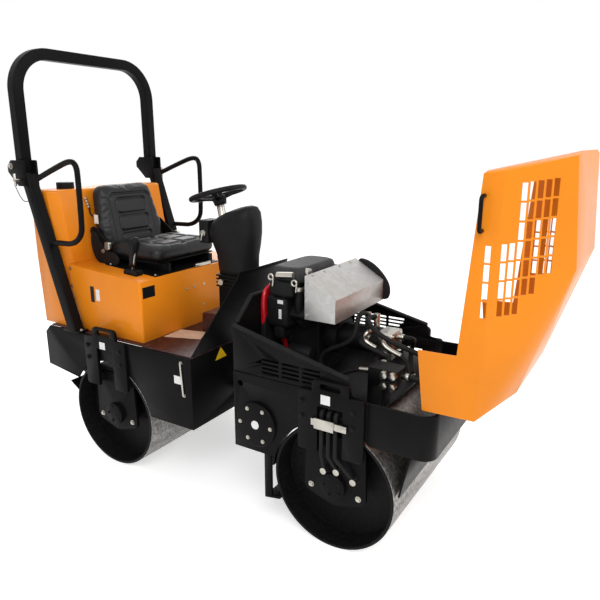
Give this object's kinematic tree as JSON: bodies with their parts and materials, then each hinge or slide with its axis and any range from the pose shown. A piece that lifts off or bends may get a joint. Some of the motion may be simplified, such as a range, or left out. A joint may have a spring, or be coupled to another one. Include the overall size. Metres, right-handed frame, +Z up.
{
  "type": "articulated tandem road roller",
  "caption": "Ride-on road roller with smooth steel drums on hinged frames, a folding roll bar, an operator seat and an open engine hood.",
  "frame": {"origin": "on the ground under the middle of the machine's length, hood open", "axes": "+X forward towards the engine, +Y left, +Z up"},
  "size_m": [2.7162, 1.052, 2.1399],
  "materials": {
    "orange_paint": "gloss enamel",
    "black_paint": "semi-gloss powder coat",
    "deck_paint": "dark textured coating",
    "drum_steel": "bare rolled steel",
    "rubber": "matte",
    "vinyl": "grained vinyl",
    "black_plastic": "fine texture",
    "red_plastic": "gloss",
    "grey_plastic": "fine texture",
    "engine_casting": "black painted casting",
    "galvanised": "galvanised sheet",
    "bright_metal": "zinc plated",
    "hose_rubber": "ribbed hose cover"
  },
  "bodies": {
    "rear_drum": {"rear_drum": "drum_steel"},
    "front_drum": {"front_drum": "drum_steel"},
    "knuckle": {"knuckle": "black_paint"},
    "steer_rod": {"steer_rod": "bright_metal"},
    "steering_wheel": {"steering_wheel": "black_plastic"},
    "rops_hoop": {"rops_hoop": "black_paint"},
    "hood": {"hood_handles": "black_paint", "hood_hinge_arms": "black_paint", "hood_shell": "orange_paint"},
    "front_frame": {"air_cleaner": "grey_plastic", "bumper": "black_paint", "drive_pump": "engine_casting", "engine_bay_panels": "black_paint", "engine_block": "engine_casting", "engine_brightwork": "bright_metal", "engine_fittings": "black_plastic", "fan_cover": "red_plastic", "fan_housing": "black_plastic", "front_buffers": "rubber", "front_carriers": "black_paint", "front_chassis": "black_paint", "front_legs": "black_paint", "front_scrapers": "black_paint", "gear_pump": "bright_metal", "hood_hinge_brackets": "black_paint", "hood_seals": "rubber", "hose_fittings": "bright_metal", "hoses": "hose_rubber", "muffler_shield": "galvanised", "rocker_covers": "black_plastic", "shield_end": "rubber", "side_covers": "black_paint", "valve_block": "engine_casting"},
    "rear_frame": {"column_shaft": "bright_metal", "column_shroud": "black_plastic", "column_stalk": "black_paint", "deck_plate": "deck_paint", "floor_step": "deck_paint", "guard_plate": "black_paint", "handrails": "black_paint", "instrument_pod": "black_plastic", "lever_grip": "black_plastic", "rear_buffers": "rubber", "rear_carriers": "black_paint", "rear_chassis": "black_paint", "rear_legs": "black_paint", "rear_scrapers": "black_paint", "rear_yoke": "black_paint", "rops_pins": "bright_metal", "rops_posts": "black_paint", "seat_backrest": "vinyl", "seat_box": "orange_paint", "seat_cushion": "vinyl", "seat_pan": "black_paint", "seat_rails": "black_paint", "steer_barrel": "black_paint", "tank_cap": "black_plastic", "travel_lever": "bright_metal", "water_tank": "orange_paint"}
  },
  "joints": [
    {"name": "steer", "type": "hinge", "parent": "rear_frame", "child": "knuckle", "pos_m": [-0.10461, 0, 0.48], "axis": [0, 0, 1], "range_deg": [-25, 25]},
    {"name": "frame_roll", "type": "hinge", "parent": "knuckle", "child": "front_frame", "pos_m": [0.05789, 0, 0.48], "axis": [1, 0, 0], "range_deg": [-6, 6]},
    {"name": "rear_drum_spin", "type": "hinge", "parent": "rear_frame", "child": "rear_drum", "pos_m": [-0.76211, 0, 0.28], "axis": [0, 1, 0], "continuous": true},
    {"name": "front_drum_spin", "type": "hinge", "parent": "front_frame", "child": "front_drum", "pos_m": [0.55289, 0, 0.28], "axis": [0, 1, 0], "continuous": true},
    {"name": "hood_hinge", "type": "hinge", "parent": "front_frame", "child": "hood", "pos_m": [0.94089, 0, 0.642], "axis": [0, -1, 0], "range_deg": [0, 80.9]},
    {"name": "rops_fold", "type": "hinge", "parent": "rear_frame", "child": "rops_hoop", "pos_m": [-1.32811, 0, 1.552], "axis": [0, -1, 0], "range_deg": [0, 120]},
    {"name": "steering_wheel_turn", "type": "hinge", "parent": "rear_frame", "child": "steering_wheel", "pos_m": [-0.35311, 0, 1.403], "axis": [-0.2079, 0, 0.9781], "range_deg": [-460, 460]},
    {"name": "steer_rod_slide", "type": "slide", "parent": "rear_frame", "child": "steer_rod", "axis": [1, 0, 0], "range_m": [-0.0555, 0.0555]}
  ],
  "couplings": [
    {"joint": "steering_wheel_turn", "follows": "steer", "ratio": 18},
    {"joint": "steer_rod_slide", "follows": "steer", "m_per_rad": -0.12591}
  ]
}
